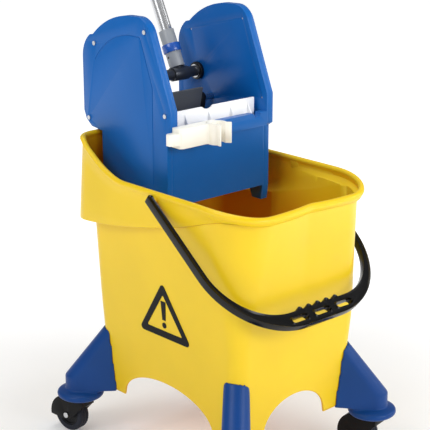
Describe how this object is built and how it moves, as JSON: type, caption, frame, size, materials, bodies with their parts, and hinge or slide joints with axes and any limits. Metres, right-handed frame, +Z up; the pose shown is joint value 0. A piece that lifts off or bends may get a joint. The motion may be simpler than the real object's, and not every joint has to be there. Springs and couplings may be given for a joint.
{
  "type": "mop bucket with press wringer",
  "caption": "Wheeled mop bucket with splayed feet, carrying bail, handle clip and a lift-off lever wringer whose geared plate presses the mop.",
  "frame": {"origin": "on the floor, under the middle of the whole object's box", "axes": "+Z up, +X to the right of a user who faces the pouring front from in front of it, +Y towards the wringer and its lever"},
  "size_m": [0.4022, 0.5843, 0.9555],
  "materials": {
    "tank_yellow": "satin",
    "sign_black": "satin",
    "steel": "satin",
    "foot_blue": "satin",
    "fork_black": "satin",
    "hub_grey": "satin",
    "tyre_grey": "matt",
    "bail_black": "gloss",
    "wringer_blue": "satin",
    "plate_white": "satin",
    "clip_ivory": "satin",
    "shaft_steel": "satin",
    "socket_grey": "satin",
    "ring_blue": "gloss",
    "tube_aluminium": "satin",
    "grip_black": "matt",
    "screw_black": "satin",
    "gear_black": "satin",
    "plate_grey": "satin"
  },
  "bodies": {
    "bucket": {"bucket": "tank_yellow", "side_signs": "sign_black", "bail_bushes": "tank_yellow", "foot_bolts": "steel", "foot_front_left": "foot_blue", "foot_front_right": "foot_blue", "foot_rear_left": "foot_blue", "foot_rear_right": "foot_blue", "castor_stem_front_left": "steel", "castor_stem_front_right": "steel", "castor_stem_rear_left": "steel", "castor_stem_rear_right": "steel"},
    "bail": {"bail": "bail_black"},
    "wringer": {"wringer_casing": "wringer_blue", "left_cover": "wringer_blue", "right_cover": "wringer_blue", "cover_screws": "steel", "front_press_plate": "plate_white", "drain_grid": "wringer_blue", "shaft_bushes": "gear_black", "return_spring": "steel", "handle_clip": "clip_ivory", "clip_screws": "steel"},
    "lever": {"lever_shaft": "shaft_steel", "lever_yoke": "shaft_steel", "lever_socket": "socket_grey", "lock_ring": "ring_blue", "lever_tube": "tube_aluminium", "lever_grip": "grip_black", "socket_screw": "screw_black", "left_pinion": "gear_black", "right_pinion": "gear_black", "shaft_rings": "steel"},
    "press": {"rear_press_plate": "plate_grey", "press_rod": "steel", "left_sector": "gear_black", "right_sector": "gear_black", "left_press_arm": "gear_black", "right_press_arm": "gear_black"},
    "castor_front_left": {"castor_fork_front_left": "fork_black", "axle_front_left": "steel"},
    "wheel_front_left": {"wheel_hub_front_left": "hub_grey", "tyre_front_left": "tyre_grey"},
    "castor_front_right": {"castor_fork_front_right": "fork_black", "axle_front_right": "steel"},
    "wheel_front_right": {"wheel_hub_front_right": "hub_grey", "tyre_front_right": "tyre_grey"},
    "castor_rear_left": {"castor_fork_rear_left": "fork_black", "axle_rear_left": "steel"},
    "wheel_rear_left": {"wheel_hub_rear_left": "hub_grey", "tyre_rear_left": "tyre_grey"},
    "castor_rear_right": {"castor_fork_rear_right": "fork_black", "axle_rear_right": "steel"},
    "wheel_rear_right": {"wheel_hub_rear_right": "hub_grey", "tyre_rear_right": "tyre_grey"}
  },
  "joints": [
    {"name": "castor_swivel_front_left", "type": "hinge", "parent": "bucket", "child": "castor_front_left", "pos_m": [-0.16021, -0.25118, 0.067], "axis": [0, 0, 1], "continuous": true},
    {"name": "wheel_spin_front_left", "type": "hinge", "parent": "castor_front_left", "child": "wheel_front_left", "pos_m": [-0.16441, -0.22959, 0.031], "axis": [0.9816, 0.1908, 0], "continuous": true},
    {"name": "castor_swivel_front_right", "type": "hinge", "parent": "bucket", "child": "castor_front_right", "pos_m": [0.16021, -0.25118, 0.067], "axis": [0, 0, 1], "continuous": true},
    {"name": "wheel_spin_front_right", "type": "hinge", "parent": "castor_front_right", "child": "wheel_front_right", "pos_m": [0.15601, -0.22959, 0.031], "axis": [0.9816, 0.1908, 0], "continuous": true},
    {"name": "castor_swivel_rear_left", "type": "hinge", "parent": "bucket", "child": "castor_rear_left", "pos_m": [-0.16021, 0.14305, 0.067], "axis": [0, 0, 1], "continuous": true},
    {"name": "wheel_spin_rear_left", "type": "hinge", "parent": "castor_rear_left", "child": "wheel_rear_left", "pos_m": [-0.16441, 0.16465, 0.031], "axis": [0.9816, 0.1908, 0], "continuous": true},
    {"name": "castor_swivel_rear_right", "type": "hinge", "parent": "bucket", "child": "castor_rear_right", "pos_m": [0.16021, 0.14305, 0.067], "axis": [0, 0, 1], "continuous": true},
    {"name": "wheel_spin_rear_right", "type": "hinge", "parent": "castor_rear_right", "child": "wheel_rear_right", "pos_m": [0.15601, 0.16465, 0.031], "axis": [0.9816, 0.1908, 0], "continuous": true},
    {"name": "bail_hinge", "type": "hinge", "parent": "bucket", "child": "bail", "pos_m": [0, -0.06207, 0.473], "axis": [-1, 0, 0], "range_deg": [0, 118]},
    {"name": "wringer_lift", "type": "slide", "parent": "bucket", "child": "wringer", "axis": [0, 0, 1], "range_m": [0, 0.25]},
    {"name": "lever_hinge", "type": "hinge", "parent": "wringer", "child": "lever", "pos_m": [0, 0.11993, 0.617], "axis": [1, 0, 0], "range_deg": [0, 95], "stiffness_Nm_per_rad": 0.4, "springref_deg": -34.38},
    {"name": "press_hinge", "type": "hinge", "parent": "wringer", "child": "press", "pos_m": [0, 0.0838, 0.57687], "axis": [1, 0, 0], "range_deg": [-47.5, 0]}
  ],
  "couplings": [
    {"joint": "press_hinge", "follows": "lever_hinge", "ratio": -0.5}
  ]
}
